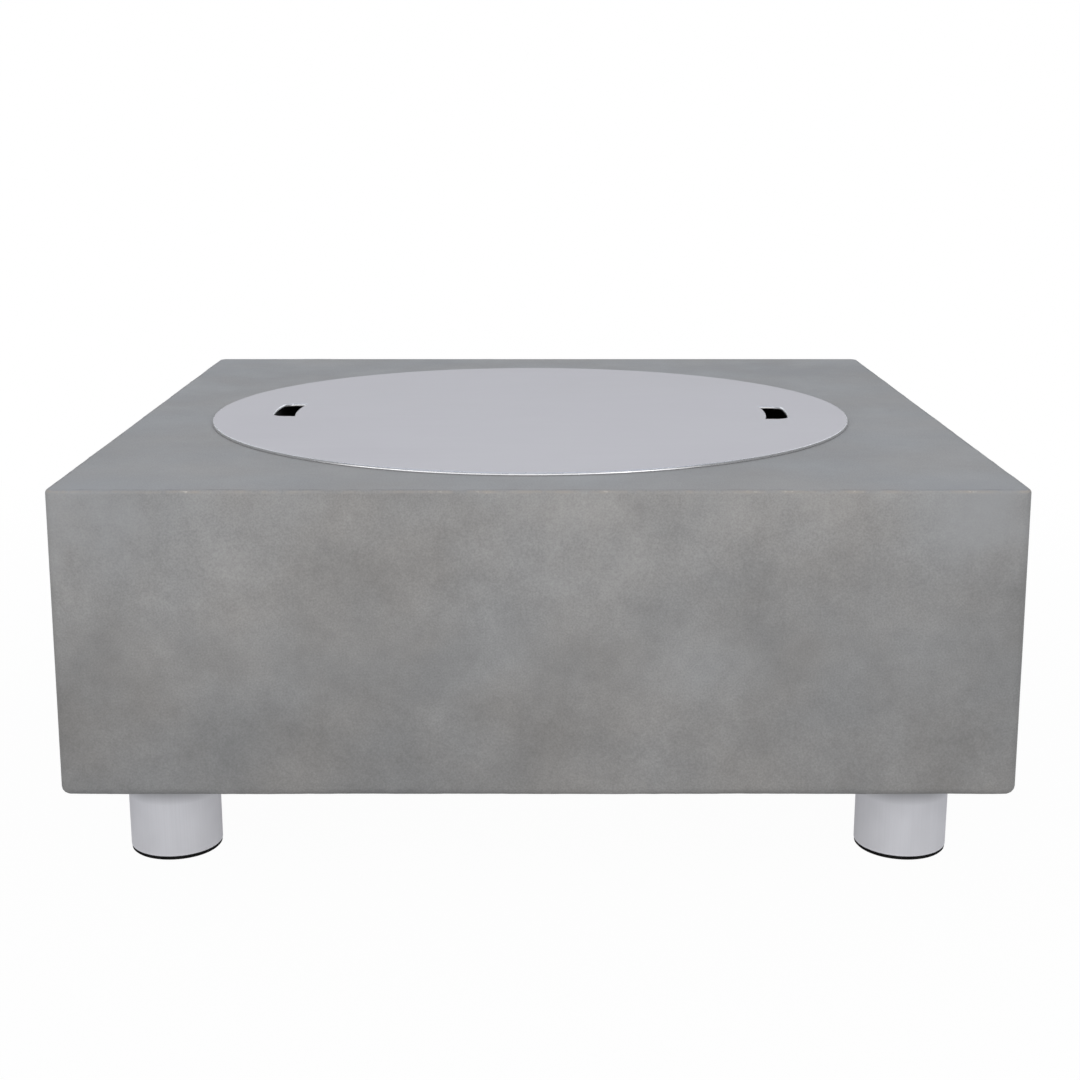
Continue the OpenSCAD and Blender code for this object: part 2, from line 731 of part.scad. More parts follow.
module control_box_screws() color(sheet_steel) box_screw_places() {
  cylinder(r = box_screw_r, h = box_screw_l);
  translate([0, 0, -box_screw_head_h]) cylinder(r = box_screw_head_r, h = box_screw_head_h);
}

module gas_valve() color(brass_yellow) difference() {
  neck_l = box_sheet + neck_nut_t;
  chamber_l = plunger_l + push_travel + 2 * cut;
  stem_bore_l = panel_y + neck_nut_t - chamber_front;
  union() {
    outward(-control_x, valve_back) cylinder(r = valve_r, h = valve_l);
    outward(-control_x, panel_back - cut) cylinder(r = neck_r, h = neck_l + cut);
    outward(-control_x, outlet_y) cylinder(r = boss_r, h = boss_l + cut);
    translate([-control_x, inlet_y, valve_inlet_z]) cylinder(r = boss_r, h = boss_l + valve_r);
    translate(probe_end) rotate([-90, 0, 0]) cylinder(r = magnet_r, h = magnet_l + cut);
  }
  outward(-control_x, chamber_front - cut) cylinder(r = stem_r + slide_play, h = stem_bore_l + 2 * cut);
  outward(-control_x, chamber_front - chamber_l) cylinder(r = plunger_r + slide_play, h = chamber_l);
  outward(-control_x, outlet_y - cut) cylinder(r = boss_r - boss_wall, h = boss_l + cut);
  translate([-control_x, inlet_y, valve_inlet_z - cut]) cylinder(r = boss_r - boss_wall, h = boss_l + cut);
}

module valve_nut() color(sheet_steel) outward(-control_x, panel_y)
  hex_nut(neck_nut_af, neck_r + screw_play, neck_nut_t);

module valve_plunger() color(brass_yellow)
  outward(-control_x, plunger_front - plunger_l) cylinder(r = plunger_r, h = plunger_l);

// A shaft with a flat on the outer part of its length
module flatted_shaft(r, h, flat_h) {
  difference() {
    cylinder(r = r, h = h);
    translate([-r, r - stem_flat, h - flat_h]) cube([2 * r, 2 * stem_flat, flat_h + cut]);
  }
}

module valve_stem() color(sheet_steel) outward(-control_x, plunger_front)
  flatted_shaft(stem_r, stem_end - plunger_front, socket_l);

module control_knob() color(soft_black) outward(-control_x, knob_back) {
  skirt_h = 5;
  edge = 2;
  flute_r = 4;
  mark = [2.4, 10, 1];
  flat_y = stem_r - stem_flat + screw_play / 2;
  difference() {
    rotate_extrude() polygon([
      [0, 0], [knob_r, 0], [knob_r, skirt_h - edge], [knob_r - edge, skirt_h], [grip_r, skirt_h],
      [grip_r - edge / 2, knob_l - edge], [grip_r - 1.5 * edge, knob_l], [0, knob_l]
    ]);
    translate([0, 0, -cut]) cylinder(r = knob_hollow_r, h = knob_hollow_d + cut);
    translate([0, 0, knob_hollow_d - cut]) difference() {
      cylinder(r = stem_r + screw_play / 2, h = socket_l + cut);
      translate([-knob_r, flat_y, cut]) cube([2 * knob_r, knob_r, socket_l + cut]);
    }
    for (i = [0:knob_flutes - 1]) rotate([0, 0, 360 * (i + 0.5) / knob_flutes])
      translate([0, grip_r - flute_d + flute_r, skirt_h + edge]) cylinder(r = flute_r, h = knob_l);
  }
  translate([-mark[0] / 2, -grip_r + 2 * edge, knob_l]) cube(mark);
}

// Igniter, electrode and thermocouple

module igniter_module() color(soft_black) {
  bore_l = button_in + button_travel + cut;
  difference() {
    union() {
      outward(control_x, panel_back - barrel_l) cylinder(r = barrel_r, h = barrel_l);
      outward(control_x, panel_back - cut) cylinder(r = igniter_neck_r, h = box_sheet + ring_nut_t + cut);
      outward(control_x, spark_end[1]) cylinder(r = terminal_r, h = terminal_l + cut);
    }
    outward(control_x, panel_y + ring_nut_t - bore_l) cylinder(r = button_r + slide_play, h = bore_l + cut);
  }
}

module igniter_nut() color(soft_black) outward(control_x, panel_y)
  tube(ring_nut_r, ring_nut_r - igniter_neck_r - screw_play, ring_nut_t);

module igniter_button() color(soft_black) outward(control_x, panel_y + ring_nut_t - button_in) {
  l = button_in + button_out;
  e = 1.5;
  rotate_extrude() polygon(concat([[0, 0], [button_r, 0]], arc([button_r - e, l - e], e, 0, 90), [[0, l]]));
}

module igniter_lead() color(soft_black)
  swept_tube(concat([spark_start], spark_lead, [spark_end]), lead_r);

module thermocouple_lead() color(copper_red)
  swept_tube(concat([probe_start], probe_lead, [probe_end]), lead_r);

module sensor_bracket() color(sheet_steel) difference() {
  translate([-sensor_plate[0] / 2, sensor_y - sensor_plate[1] / 2, floor_z]) cube(sensor_plate);
  for (s = [-1, 1]) translate([s * sensor_x, sensor_y, floor_z - cut])
    cylinder(r = sensor_hole_r, h = sensor_plate[2] + 2 * cut);
}

module electrode_insulator() color(ceramic_white) translate([sensor_x, sensor_y, under_z - insulator_drop]) {
  length = insulator_drop + pan_sheet + insulator_rise;
  difference() {
    union() {
      cylinder(r = insulator_r, h = length);
      translate([0, 0, insulator_drop + pan_sheet + sensor_plate[2]]) cylinder(r = collar_r, h = collar_h);
    }
    translate([0, 0, -cut]) cylinder(r = electrode_r + screw_play, h = length + 2 * cut);
  }
}

// The wire bends over at the top and points at the outer ring
module electrode_rod() color(sheet_steel) translate(spark_start) {
  length = terminal_l + insulator_drop + pan_sheet + insulator_rise + electrode_rise;
  reach = outer_ring_r - ring_tube_r - spark_gap - sensor_y;
  cylinder(r = electrode_r, h = length);
  translate([0, 0, length]) sphere(r = electrode_r);
  translate([0, 0, length]) rotate([-90, 0, 0]) cylinder(r = electrode_r, h = reach);
}

module thermocouple() color(copper_red) translate([-sensor_x, sensor_y, under_z - probe_drop]) {
  length = probe_drop + pan_sheet + probe_rise;
  cylinder(r = probe_r, h = length - probe_r);
  translate([0, 0, length - probe_r]) sphere(r = probe_r);
  translate([0, 0, probe_drop + pan_sheet + sensor_plate[2]]) cylinder(r = collar_r, h = collar_h, $fn = 6);
}

// Lava stones, one layer on the pan's floor, clear of the burner and of the sensors

function stone_rows(a, b) =
  let (n = floor((b - a) / (stone_d + stone_gap))) [for (i = [0:1:n - 1]) a + (b - a) * (i + 0.5) / n];
function stone_count(r) = floor(360 / (2 * asin((stone_d + stone_gap) / (2 * r))));

// True where a stone would touch a cross tube or the sensors
function near_cross_tube(r, a) =
  let (room = asin((cross_tube_r + stone_d / 2 + stone_gap) / r))
  r < outer_ring_r && min([for (s = [45:90:315]) abs(a - s)]) < room;
function near_sensor(p) =
  abs(p[0]) < (sensor_plate[0] + stone_d) / 2 + stone_gap
  && abs(p[1] - sensor_y) < (sensor_plate[1] + stone_d) / 2 + stone_gap;

// A rough stone: a pole, two rings of five points and a pole, each at its own distance from the middle
module stone(seed) {
  squat = 0.86;
  lat = atan(0.5);
  r = rands(0.74, 1, 12, seed) * stone_d / 2;
  points = concat(
    [[0, 0, r[0]]],
    [for (i = [0:4]) r[1 + i] * [cos(lat) * cos(72 * i), cos(lat) * sin(72 * i), sin(lat)]],
    [for (i = [0:4]) r[6 + i] * [cos(lat) * cos(72 * i + 36), cos(lat) * sin(72 * i + 36), -sin(lat)]],
    [[0, 0, -r[11]]]
  );
  low = min([for (p = points) p[2]]) * squat;
  faces = [for (i = [0:4]) let (j = (i + 1) % 5) each [
    [0, 1 + j, 1 + i], [1 + i, 1 + j, 6 + i], [1 + j, 6 + j, 6 + i], [6 + i, 6 + j, 11]
  ]];
  translate([0, 0, -low]) polyhedron([for (p = points) [p[0], p[1], p[2] * squat]], faces);
}

module lava_rocks() color(stone_red) {
  rows = concat(
    stone_rows(hub_base_r, inner_ring_r - ring_tube_r),
    stone_rows(inner_ring_r + ring_tube_r, outer_ring_r - ring_tube_r),
    stone_rows(outer_ring_r + ring_tube_r, pan_r - pan_sheet)
  );
  for (k = [0:len(rows) - 1]) {
    n = stone_count(rows[k]);
    for (i = [0:n - 1]) {
      a = 360 * (i + 0.5) / n;
      place = rows[k] * [cos(a), sin(a)];
      if (!near_cross_tube(rows[k], a) && !near_sensor(place))
        translate([place[0], place[1], floor_z]) rotate([0, 0, a]) stone(100 * k + i);
    }
  }
}

// Legs and feet

module leg() color(leg_steel) translate([0, 0, foot_t]) {
  inside = leg_r - leg_wall;
  under_plate = leg_h - leg_plate_t;
  e = 0.8;
  rotate_extrude($fn = 96) polygon([
    [inside, 0], [leg_r - e, 0], [leg_r, e], [leg_r, leg_h], [leg_bolt_r + screw_play, leg_h],
    [leg_bolt_r + screw_play, under_plate], [inside, under_plate]
  ]);
}

module foot() color(soft_black) {
  pad_r = leg_r - foot_step;
  plug_r = leg_r - leg_wall - screw_play;
  e = 1;
  rotate_extrude($fn = 96) polygon([
    [0, 0], [pad_r - e, 0], [pad_r, e], [pad_r, foot_t], [plug_r, foot_t],
    [plug_r, foot_t + foot_plug_h], [0, foot_t + foot_plug_h]
  ]);
}

module leg_front_left() translate([-leg_xy, -leg_xy, 0]) leg();
module leg_front_right() translate([leg_xy, -leg_xy, 0]) leg();
module leg_rear_left() translate([-leg_xy, leg_xy, 0]) leg();
module leg_rear_right() translate([leg_xy, leg_xy, 0]) leg();

module foot_front_left() translate([-leg_xy, -leg_xy, 0]) foot();
module foot_front_right() translate([leg_xy, -leg_xy, 0]) foot();
module foot_rear_left() translate([-leg_xy, leg_xy, 0]) foot();
module foot_rear_right() translate([leg_xy, leg_xy, 0]) foot();

module leg_bolts() color(sheet_steel) at_legs() translate([0, 0, body_z - leg_plate_t]) {
  translate([0, 0, -leg_bolt_head_h]) cylinder(r = hex_r(leg_bolt_af), h = leg_bolt_head_h, $fn = 6);
  cylinder(r = leg_bolt_r, h = leg_plate_t + leg_bolt_grip);
}

module leg_sleeves() color(sheet_steel) at_legs() translate([0, 0, body_z]) difference() {
  cylinder(r = sleeve_r, h = leg_bolt_grip + sleeve_end);
  translate([0, 0, -cut]) cylinder(r = leg_bolt_r + screw_play, h = leg_bolt_grip + 2 * cut);
}

concrete_body();
lid();
burner_pan();
ring_burner();
burner_locknut();
air_mixer();
orifice_elbow();
burner_pipe();
inlet_pipe();
pipe_nuts();
inlet_fitting();
inlet_locknut();
inlet_bracket();
bracket_screws();
control_box();
control_box_screws();
gas_valve();
valve_nut();
valve_plunger();
valve_stem();
control_knob();
igniter_module();
igniter_nut();
igniter_button();
igniter_lead();
sensor_bracket();
electrode_insulator();
electrode_rod();
thermocouple();
thermocouple_lead();
lava_rocks();
leg_front_left();
leg_front_right();
leg_rear_left();
leg_rear_right();
foot_front_left();
foot_front_right();
foot_rear_left();
foot_rear_right();
leg_bolts();
leg_sleeves();
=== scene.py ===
# %% [markdown]
# # A concrete fire pit table
#
# This lesson dresses a measured model of a low fire pit table: a cast concrete body on four steel
# legs, with a loose steel lid over a gas burner. The measured pieces come in first. Some of them only
# get a finish, others are modelled again with the small irregularities that casting leaves.

# %% Load the measured pieces
import math
import bmesh
import bpy
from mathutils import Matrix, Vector


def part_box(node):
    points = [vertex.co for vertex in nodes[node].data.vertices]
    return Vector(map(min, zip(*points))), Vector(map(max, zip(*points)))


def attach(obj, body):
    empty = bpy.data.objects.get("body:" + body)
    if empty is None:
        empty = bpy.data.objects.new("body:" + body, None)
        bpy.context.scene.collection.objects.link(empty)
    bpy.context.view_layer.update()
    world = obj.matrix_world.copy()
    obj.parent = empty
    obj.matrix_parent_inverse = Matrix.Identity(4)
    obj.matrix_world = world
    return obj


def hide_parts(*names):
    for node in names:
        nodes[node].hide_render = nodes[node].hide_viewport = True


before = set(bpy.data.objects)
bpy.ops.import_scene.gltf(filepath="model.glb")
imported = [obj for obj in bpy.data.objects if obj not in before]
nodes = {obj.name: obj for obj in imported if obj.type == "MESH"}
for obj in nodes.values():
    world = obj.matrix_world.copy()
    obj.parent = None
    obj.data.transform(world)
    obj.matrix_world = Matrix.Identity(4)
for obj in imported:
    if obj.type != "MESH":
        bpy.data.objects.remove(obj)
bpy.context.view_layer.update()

print("measured pieces:", len(nodes))

# %% [markdown]
# ## The room
#
# A catalogue photo is taken in a white sweep. Here that is one plain floor and a world that looks white to
# the camera. As a source of light, and in the shine of metal, the world is a dim room, so that the lamps
# give the object its form. The floor keeps part of the table's shadow.

# %% White world
scene = bpy.context.scene
scene.view_settings.view_transform = "Standard"
world = bpy.data.worlds.new("white_sweep")
world.use_nodes = True
scene.world = world
sky = world.node_tree.nodes
wire_sky = world.node_tree.links.new
sky.clear()
sky_out = sky.new("ShaderNodeOutputWorld")
sky_path = sky.new("ShaderNodeLightPath")
sky_light = sky.new("ShaderNodeBackground")
sky_light.inputs["Color"].default_value = (0.97, 0.985, 1.0, 1.0)
sky_light.inputs["Strength"].default_value = 0.38
sky_shown = sky.new("ShaderNodeBackground")
sky_shown.inputs["Color"].default_value = (1.0, 1.0, 1.0, 1.0)
sky_shown.inputs["Strength"].default_value = 1.0
sky_mix = sky.new("ShaderNodeMixShader")
wire_sky(sky_path.outputs["Is Camera Ray"], sky_mix.inputs[0])
wire_sky(sky_light.outputs[0], sky_mix.inputs[1])
wire_sky(sky_shown.outputs[0], sky_mix.inputs[2])
wire_sky(sky_mix.outputs[0], sky_out.inputs["Surface"])
print("world:", world.name)

# %% [markdown]
# The floor is a large plane. Near the table it is mostly white with some real matt floor mixed in, and
# that share is what shows the shadow. Further out the matt share fades away, so no horizon line shows. The
# steel legs mirror the floor, and in that mirror image more of the matt floor is kept.

# %% White floor
bpy.ops.mesh.primitive_plane_add(size=40.0, location=(0.0, 0.0, 0.0))
floor = bpy.context.object
floor.name = "floor"
floor_paint = bpy.data.materials.new("floor_white")
floor_paint.use_nodes = True
tree = floor_paint.node_tree
tree.nodes.clear()
floor_out = tree.nodes.new("ShaderNodeOutputMaterial")
floor_path = tree.nodes.new("ShaderNodeLightPath")
floor_glint = tree.nodes.new("ShaderNodeMath")
floor_glint.operation = "MULTIPLY"
floor_glint.inputs[1].default_value = 0.75
tree.links.new(floor_path.outputs["Is Glossy Ray"], floor_glint.inputs[0])
floor_seen = tree.nodes.new("ShaderNodeMath")
floor_seen.operation = "MAXIMUM"
tree.links.new(floor_path.outputs["Is Camera Ray"], floor_seen.inputs[0])
tree.links.new(floor_glint.outputs[0], floor_seen.inputs[1])
floor_place = tree.nodes.new("ShaderNodeTexCoord")
floor_far = tree.nodes.new("ShaderNodeVectorMath")
floor_far.operation = "LENGTH"
tree.links.new(floor_place.outputs["Object"], floor_far.inputs[0])
floor_fade = tree.nodes.new("ShaderNodeMapRange")
floor_fade.inputs["From Min"].default_value = 0.6
floor_fade.inputs["From Max"].default_value = 2.0
floor_fade.inputs["To Min"].default_value = 0.975
floor_fade.inputs["To Max"].default_value = 1.0
tree.links.new(floor_far.outputs["Value"], floor_fade.inputs["Value"])
floor_share = tree.nodes.new("ShaderNodeMath")
floor_share.operation = "MULTIPLY"
tree.links.new(floor_seen.outputs[0], floor_share.inputs[0])
tree.links.new(floor_fade.outputs["Result"], floor_share.inputs[1])
floor_matt = tree.nodes.new("ShaderNodeBsdfDiffuse")
floor_matt.inputs["Color"].default_value = (0.62, 0.62, 0.62, 1.0)
floor_white = tree.nodes.new("ShaderNodeEmission")
floor_white.inputs["Color"].default_value = (1.0, 1.0, 1.0, 1.0)
floor_white.inputs["Strength"].default_value = 1.0
floor_mix = tree.nodes.new("ShaderNodeMixShader")
tree.links.new(floor_share.outputs[0], floor_mix.inputs[0])
tree.links.new(floor_matt.outputs[0], floor_mix.inputs[1])
tree.links.new(floor_white.outputs[0], floor_mix.inputs[2])
tree.links.new(floor_mix.outputs[0], floor_out.inputs["Surface"])
floor.data.materials.append(floor_paint)
print("floor:", floor.name)

# %% [markdown]
# ## Camera and lamps
#
# The camera stands a little above the table and looks slightly down, straight on. Its place was fitted
# to the corners of the concrete, the lid's rim and the legs. A wide, cool softbox overhead lights the
# top. Two key lamps left and right of the camera make the front paler towards its top edge and put two
# glints on the lid's rim. A large panel behind the table shines in the lid, a low lamp below it lights
# the back wall, and a large lamp far behind the camera fills the shadows.

# %% Camera and softboxes
camera_data = bpy.data.cameras.new("camera")
camera_data.sensor_width = 36.0
camera_data.lens = 57.25
camera_data.shift_x = 0.00159
camera = bpy.data.objects.new("camera", camera_data)
camera.location = (0.0, -2.2284, 0.7936)
camera.rotation_euler = (math.radians(76.386), 0.0, 0.0)
scene.collection.objects.link(camera)
scene.camera = camera


def softbox(name, place, aim, size, power):
    """A large rectangular lamp at a place, turned to face the aim."""
    lamp_data = bpy.data.lights.new(name, "AREA")
    lamp_data.shape = "RECTANGLE"
    lamp_data.size, lamp_data.size_y = size
    lamp_data.energy = power
    lamp = bpy.data.objects.new(name, lamp_data)
    lamp.location = place
    lamp.rotation_euler = (Vector(aim) - Vector(place)).to_track_quat("-Z", "Y").to_euler()
    scene.collection.objects.link(lamp)
    return lamp


overhead = softbox("overhead_box", (0.0, 0.2, 3.6), (0.0, 0.0, 0.4), (4.0, 4.0), 28.5)
overhead.data.color = (0.725, 0.81, 1.0)
softbox("key_left", (-1.95, -1.75, 1.35), (-0.2, -0.5, 0.35), (1.5, 1.1), 9.0)
softbox("key_right", (1.6, -2.05, 1.35), (0.2, -0.5, 0.35), (1.3, 1.1), 8.4)
softbox("fill_box", (0.0, -5.2, 2.2), (0.0, -0.5, 0.3), (8.0, 4.0), 110.0)
panel = softbox("back_panel", (0.0, 3.6, 2.4), (0.0, 0.0, 0.5), (4.6, 2.0), 40.0)
panel.data.color = (0.88, 0.932, 1.0)
panel.visible_camera = False
rear = softbox("rear_fill", (0.0, 3.4, 0.2), (0.0, 0.5, 0.25), (3.0, 0.36), 22.0)
rear.visible_camera = False
print("camera at", tuple(camera.location))

# %% [markdown]
# ## Painting with noise
#
# Each finish is a Principled material whose colour, roughness and bump come from noise at several sizes.
# A small helper class keeps the node building short: it adds a node, wires sockets into it and sets the
# plain values on the node's own sockets.

# %% A helper for finishes


class Finish:
    """A material under construction, with short names for the nodes that finishes share."""

    def __init__(self, name, colour, roughness, metallic=0.0):
        self.material = bpy.data.materials.new(name)
        self.material.use_nodes = True
        self.tree = self.material.node_tree
        self.shader = self.tree.nodes["Principled BSDF"]
        self.shader.inputs["Base Color"].default_value = (*colour, 1.0)
        self.shader.inputs["Roughness"].default_value = roughness
        self.shader.inputs["Metallic"].default_value = metallic
        self.place = self.tree.nodes.new("ShaderNodeTexCoord").outputs["Object"]

    def put(self, node, socket, value):
        """Wire a socket into a node's input, or set a plain value there."""
        if isinstance(value, bpy.types.NodeSocket):
            self.tree.links.new(value, node.inputs[socket])
        else:
            node.inputs[socket].default_value = value

    def clouds(self, scale, detail=3.0, stretch=(1.0, 1.0, 1.0), offset=(0.0, 0.0, 0.0), rough=0.5):
        """Soft noise from 0 to 1, about 1/scale metres a blob, stretched along the axes."""
        mapping = self.tree.nodes.new("ShaderNodeMapping")
        self.put(mapping, "Vector", self.place)
        self.put(mapping, "Scale", stretch)
        self.put(mapping, "Location", offset)
        noise = self.tree.nodes.new("ShaderNodeTexNoise")
        self.put(noise, "Vector", mapping.outputs["Vector"])
        self.put(noise, "Scale", scale)
        self.put(noise, "Detail", detail)
        self.put(noise, "Roughness", rough)
        return noise.outputs["Fac"]

    def spread(self, value, low, high, to_low=0.0, to_high=1.0):
        """Stretch a value from low..high to another range, held at the ends."""
        node = self.tree.nodes.new("ShaderNodeMapRange")
        self.put(node, "Value", value)
        self.put(node, "From Min", low)
        self.put(node, "From Max", high)
        self.put(node, "To Min", to_low)
        self.put(node, "To Max", to_high)
        return node.outputs["Result"]

    def math(self, operation, first, second):
        """One sum on two values."""
        node = self.tree.nodes.new("ShaderNodeMath")
        node.operation = operation
        self.put(node, 0, first)
        self.put(node, 1, second)
        return node.outputs[0]

    def tint(self, share, first, second, how="MIX"):
        """Mix two colours by a share from 0 to 1."""
        node = self.tree.nodes.new("ShaderNodeMix")
        node.data_type = "RGBA"
        node.blend_type = how
        self.put(node, 0, share)
        self.put(node, 6, first if isinstance(first, bpy.types.NodeSocket) else (*first, 1.0))
        self.put(node, 7, second if isinstance(second, bpy.types.NodeSocket) else (*second, 1.0))
        return node.outputs[2]

    def bump(self, height, strength, distance, under=None):
        """A fine relief, in metres, on top of another one if given."""
        node = self.tree.nodes.new("ShaderNodeBump")
        self.put(node, "Height", height)
        self.put(node, "Strength", strength)
        self.put(node, "Distance", distance)
        if under is not None:
            self.put(node, "Normal", under)
        return node.outputs["Normal"]

    def mesh_value(self, name):
        """A value painted on the mesh under a name."""
        node = self.tree.nodes.new("ShaderNodeAttribute")
        node.attribute_name = name
        return node.outputs["Fac"]


def dress(piece, finish):
    """Put one finish on every material slot of a piece."""
    if not piece.material_slots:
        piece.data.materials.append(finish.material)
    for slot in piece.material_slots:
        slot.material = finish.material


print("finish helper ready")

# %% [markdown]
# ## Concrete
#
# Cast concrete is never one grey. Cement paste settles unevenly in the mould and leaves broad clouds,
# sealer leaves smaller mottling, and sand shows as grain. Noise at several sizes, multiplied together,
# gives that, and one more noise drifts between a warm and a cool grey.

# %% Concrete greys and clouds
warm_grey = (0.289, 0.280, 0.271)
cool_grey = (0.281, 0.280, 0.279)
concrete = Finish("cast_concrete", (0.27, 0.27, 0.27), 0.62)
broad = concrete.clouds(4.2, detail=3.0, rough=0.5)
patch = concrete.clouds(17.0, detail=4.0, offset=(4.0, 1.0, 2.0), rough=0.55)
blotch = concrete.clouds(70.0, detail=4.0, offset=(2.0, 5.0, 8.0), rough=0.6)
grain = concrete.clouds(520.0, detail=2.0)
sand = concrete.clouds(1100.0, detail=1.0, offset=(1.0, 7.0, 3.0))
cool = concrete.clouds(7.0, detail=3.0, offset=(9.0, 3.0, 5.0))
grey = concrete.tint(concrete.spread(cool, 0.35, 0.65), warm_grey, cool_grey)
shade = concrete.spread(broad, 0.3, 0.7, 0.87, 1.13)
shade = concrete.math("MULTIPLY", shade, concrete.spread(patch, 0.3, 0.7, 0.91, 1.09))
shade = concrete.math("MULTIPLY", shade, concrete.spread(blotch, 0.3, 0.7, 0.95, 1.05))
print("concrete clouds ready")

# %% [markdown]
# The finish also changes with the place on the body. The flat top is calmer than the sides. Painted light
# makes the sides paler towards the top, and painted shade makes them a little darker below, away from the
# middle. A pale patch near each upper corner of the front and back is partly a scuffed patch and partly
# painted light. Absolute coordinates repeat that on both sides of the middle.

# %% Shading by place
side_top = 0.426
slab_top = 0.4285
# The pale patch at each upper corner is partly a scuffed patch and partly painted light.
lit_scuffed_corner = (0.47, 0.508, 0.41)
scuff_and_light_grey = (0.345, 0.348, 0.356)
height = concrete.tree.nodes.new("ShaderNodeSeparateXYZ")
concrete.put(height, "Vector", concrete.place)
calm = concrete.spread(height.outputs["Z"], side_top, slab_top, 1.0, 0.45)
clouding = concrete.math("SUBTRACT", shade, 1.0)
shade = concrete.math("ADD", concrete.math("MULTIPLY", clouding, calm), 1.0)
shade = concrete.math("MULTIPLY", shade, concrete.spread(grain, 0.25, 0.75, 0.885, 1.115))
# Painted light: the sides are made paler towards the top, from 0.17 m up to 0.40 m.
shade = concrete.math("MULTIPLY", shade, concrete.spread(height.outputs["Z"], 0.17, 0.40, 0.985, 1.12))
mirrored = concrete.tree.nodes.new("ShaderNodeVectorMath")
mirrored.operation = "ABSOLUTE"
concrete.put(mirrored, 0, concrete.place)
sideways = concrete.tree.nodes.new("ShaderNodeSeparateXYZ")
concrete.put(sideways, "Vector", mirrored.outputs["Vector"])
# Painted shade: the sides are made darker towards left and right, below their upper part.
painted_side_shade = concrete.math("MULTIPLY", concrete.spread(sideways.outputs["X"], 0.15, 0.45, 0.0, 0.085),
                     concrete.spread(sideways.outputs["Z"], 0.405, 0.33))
shade = concrete.math("MULTIPLY", shade, concrete.math("SUBTRACT", 1.0, painted_side_shade))
grey = concrete.tint(1.0, grey, shade, how="MULTIPLY")
reach = concrete.tree.nodes.new("ShaderNodeVectorMath")
reach.operation = "DISTANCE"
concrete.put(reach, 0, mirrored.outputs["Vector"])
concrete.put(reach, 1, lit_scuffed_corner)
# Painted light, partly a scuffed patch: a pale patch round each upper corner.
scuff_and_painted_light = concrete.math("MULTIPLY", concrete.spread(reach.outputs["Value"], 0.012, 0.10, 0.75, 0.0),
                      concrete.spread(patch, 0.36, 0.62, 0.2, 1.0))
grey = concrete.tint(scuff_and_painted_light, grey, scuff_and_light_grey)
print("concrete shaded by place, scuffs near", lit_scuffed_corner)

# %% [markdown]
# Where an arris is worn by rubbing, the pale sand under the skin comes through, and the same pale line is
# also a painted highlight on the edge's rounding. The mesh of the casting, further on, carries a value
# along
# its top edge: above zero for the sand and painted highlight, below zero for a fine dark line beside it,
# which is painted shade. Noise makes that line come and go and picks out single bright specks, partly
# uncovered grains and partly painted glints.

# %% Sandy top edge, with painted highlight and painted shade
sand_and_highlight = (0.395, 0.360, 0.325)
grain_and_glint = (0.60, 0.57, 0.53)
painted_shade_line = (0.10, 0.095, 0.09)
wander = concrete.clouds(62.0, detail=4.0, offset=(2.0, 4.0, 6.0))
comes_and_goes = concrete.spread(wander, 0.36, 0.64, 0.15, 1.35)
line = concrete.math("MULTIPLY", concrete.mesh_value("edge_line"), comes_and_goes)
fades = concrete.clouds(26.0, detail=3.0, offset=(6.0, 2.0, 1.0))
specks = concrete.clouds(210.0, detail=2.0, offset=(3.0, 8.0, 4.0))
# Sand and painted highlight: a pale line along the top edge's rounding.
rubbed_and_highlight = concrete.math("MULTIPLY", concrete.spread(line, 0.15, 0.9),
                       concrete.spread(fades, 0.35, 0.6, 0.4, 0.95))
grey = concrete.tint(rubbed_and_highlight, grey, sand_and_highlight)
# Bright specks, partly uncovered grains and partly painted glints.
bare_and_glint = concrete.math("MULTIPLY", concrete.spread(line, 0.45, 0.9), concrete.spread(specks, 0.58, 0.66))
bare_and_glint = concrete.math("MULTIPLY", bare_and_glint, concrete.spread(fades, 0.48, 0.6))
grey = concrete.tint(bare_and_glint, grey, grain_and_glint)
# Painted shade: a fine dark line on the flat top beside the edge.
painted_line_share = concrete.math("MULTIPLY", concrete.spread(line, -0.1, -0.7),
                     concrete.spread(fades, 0.6, 0.42, 0.3, 1.0))
grey = concrete.tint(concrete.math("MULTIPLY", painted_line_share, 0.35), grey, painted_shade_line)
concrete.put(concrete.shader, "Base Color", grey)
print("sandy edge ready")

# %% [markdown]
# Sealed concrete has a soft, uneven sheen. Its mottling and its sand stand up by a fraction of a
# millimetre, which a bump gives without more faces.

# %% Concrete sheen and relief
concrete.put(concrete.shader, "Roughness", concrete.spread(patch, 0.3, 0.7, 0.52, 0.72))
concrete.put(concrete.shader, "Specular IOR Level", 0.3)
relief = concrete.bump(patch, 0.25, 0.0008)
relief = concrete.bump(grain, 0.3, 0.0003, relief)
relief = concrete.bump(sand, 0.25, 0.0002, relief)
concrete.put(concrete.shader, "Normal", relief)
print("finish:", concrete.material.name)

# %% [markdown]
# Pieces are shaped as by hand: a primitive is added, edges or faces are picked by their place or their
# direction, and an operator changes them. A few helpers keep that short, and solids cut each other by
# an exact boolean.

# %% Helpers for shaping in edit mode


def activate(piece):
    """Select one piece alone."""
    bpy.ops.object.select_all(action="DESELECT")
    piece.select_set(True)
    bpy.context.view_layer.objects.active = piece


def edit(piece):
    """Open a piece in edit mode with nothing selected."""
    activate(piece)
    bpy.ops.object.mode_set(mode="EDIT")
    bpy.ops.mesh.select_all(action="DESELECT")


def leave():
    """Back to object mode."""
    bpy.ops.object.mode_set(mode="OBJECT")


